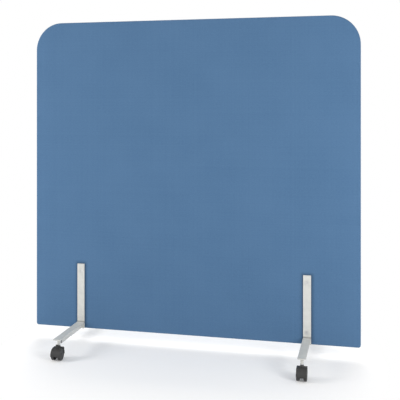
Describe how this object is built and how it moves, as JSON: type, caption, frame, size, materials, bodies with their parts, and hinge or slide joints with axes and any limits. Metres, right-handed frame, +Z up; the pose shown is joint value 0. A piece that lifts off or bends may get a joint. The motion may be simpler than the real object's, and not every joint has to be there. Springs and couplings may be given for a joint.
{
  "type": "rolling partition",
  "caption": "Free-standing rolling partition: a fabric-covered acoustic panel with rounded corners on steel T-section feet with swivelling twin-wheel casters.",
  "frame": {"origin": "on the floor, at the centre of the screen's footprint, midway between the casters", "axes": "+X to the right along the panel seen from the front, +Y to the rear, +Z up"},
  "size_m": [1.4, 0.587, 1.386],
  "materials": {
    "fabric": "woven polyester, matt",
    "foam": "open-cell foam sheet",
    "timber": "planed softwood",
    "felt": "needled acoustic felt",
    "silver_paint": "fine-textured silver-grey powder coat",
    "bolt_steel": "zinc plated, satin",
    "zinc": "zinc plated, satin",
    "hood_nylon": "moulded nylon, fine grain",
    "wheel_nylon": "moulded nylon, smooth tread"
  },
  "bodies": {
    "screen": {"front_cover": "fabric", "rear_cover": "fabric", "front_foam": "foam", "rear_foam": "foam", "head_board": "timber", "foot_board": "timber", "left_stile": "timber", "right_stile": "timber", "left_post": "timber", "right_post": "timber", "infill_pads": "felt", "sleeve_nuts": "zinc", "bracket_bolts": "bolt_steel", "front_left_bracket": "silver_paint", "front_right_bracket": "silver_paint", "rear_left_bracket": "silver_paint", "rear_right_bracket": "silver_paint", "front_left_stem": "zinc", "front_right_stem": "zinc", "rear_left_stem": "zinc", "rear_right_stem": "zinc", "front_left_clip": "zinc", "front_right_clip": "zinc", "rear_left_clip": "zinc", "rear_right_clip": "zinc"},
    "front_left_caster": {"front_left_hood": "hood_nylon", "front_left_axle": "zinc", "front_left_lever_pin": "zinc"},
    "front_right_caster": {"front_right_hood": "hood_nylon", "front_right_axle": "zinc"},
    "rear_left_caster": {"rear_left_hood": "hood_nylon", "rear_left_axle": "zinc"},
    "rear_right_caster": {"rear_right_hood": "hood_nylon", "rear_right_axle": "zinc", "rear_right_lever_pin": "zinc"},
    "front_left_brake": {"front_left_lever": "hood_nylon"},
    "rear_right_brake": {"rear_right_lever": "hood_nylon"},
    "front_left_outer_wheel": {"front_left_outer_wheel": "wheel_nylon"},
    "front_left_inner_wheel": {"front_left_inner_wheel": "wheel_nylon"},
    "front_right_outer_wheel": {"front_right_outer_wheel": "wheel_nylon"},
    "front_right_inner_wheel": {"front_right_inner_wheel": "wheel_nylon"},
    "rear_left_outer_wheel": {"rear_left_outer_wheel": "wheel_nylon"},
    "rear_left_inner_wheel": {"rear_left_inner_wheel": "wheel_nylon"},
    "rear_right_outer_wheel": {"rear_right_outer_wheel": "wheel_nylon"},
    "rear_right_inner_wheel": {"rear_right_inner_wheel": "wheel_nylon"}
  },
  "joints": [
    {"name": "front_left_swivel", "type": "hinge", "parent": "screen", "child": "front_left_caster", "pos_m": [-0.488, -0.255, 0.041], "axis": [0, 0, 1], "continuous": true},
    {"name": "front_right_swivel", "type": "hinge", "parent": "screen", "child": "front_right_caster", "pos_m": [0.488, -0.255, 0.041], "axis": [0, 0, 1], "continuous": true},
    {"name": "rear_left_swivel", "type": "hinge", "parent": "screen", "child": "rear_left_caster", "pos_m": [-0.488, 0.255, 0.041], "axis": [0, 0, 1], "continuous": true},
    {"name": "rear_right_swivel", "type": "hinge", "parent": "screen", "child": "rear_right_caster", "pos_m": [0.488, 0.255, 0.041], "axis": [0, 0, 1], "continuous": true},
    {"name": "front_left_brake_press", "type": "hinge", "parent": "front_left_caster", "child": "front_left_brake", "pos_m": [-0.488, -0.272, 0.041], "axis": [1, 0, 0], "range_deg": [0, 7]},
    {"name": "rear_right_brake_press", "type": "hinge", "parent": "rear_right_caster", "child": "rear_right_brake", "pos_m": [0.488, 0.272, 0.041], "axis": [-1, 0, 0], "range_deg": [0, 7]},
    {"name": "front_left_outer_roll", "type": "hinge", "parent": "front_left_caster", "child": "front_left_outer_wheel", "pos_m": [-0.50175, -0.267, 0.023], "axis": [1, 0, 0], "continuous": true},
    {"name": "front_left_inner_roll", "type": "hinge", "parent": "front_left_caster", "child": "front_left_inner_wheel", "pos_m": [-0.47425, -0.267, 0.023], "axis": [1, 0, 0], "continuous": true},
    {"name": "front_right_outer_roll", "type": "hinge", "parent": "front_right_caster", "child": "front_right_outer_wheel", "pos_m": [0.50175, -0.267, 0.023], "axis": [1, 0, 0], "continuous": true},
    {"name": "front_right_inner_roll", "type": "hinge", "parent": "front_right_caster", "child": "front_right_inner_wheel", "pos_m": [0.47425, -0.267, 0.023], "axis": [1, 0, 0], "continuous": true},
    {"name": "rear_left_outer_roll", "type": "hinge", "parent": "rear_left_caster", "child": "rear_left_outer_wheel", "pos_m": [-0.50175, 0.267, 0.023], "axis": [1, 0, 0], "continuous": true},
    {"name": "rear_left_inner_roll", "type": "hinge", "parent": "rear_left_caster", "child": "rear_left_inner_wheel", "pos_m": [-0.47425, 0.267, 0.023], "axis": [1, 0, 0], "continuous": true},
    {"name": "rear_right_outer_roll", "type": "hinge", "parent": "rear_right_caster", "child": "rear_right_outer_wheel", "pos_m": [0.50175, 0.267, 0.023], "axis": [1, 0, 0], "continuous": true},
    {"name": "rear_right_inner_roll", "type": "hinge", "parent": "rear_right_caster", "child": "rear_right_inner_wheel", "pos_m": [0.47425, 0.267, 0.023], "axis": [1, 0, 0], "continuous": true}
  ]
}
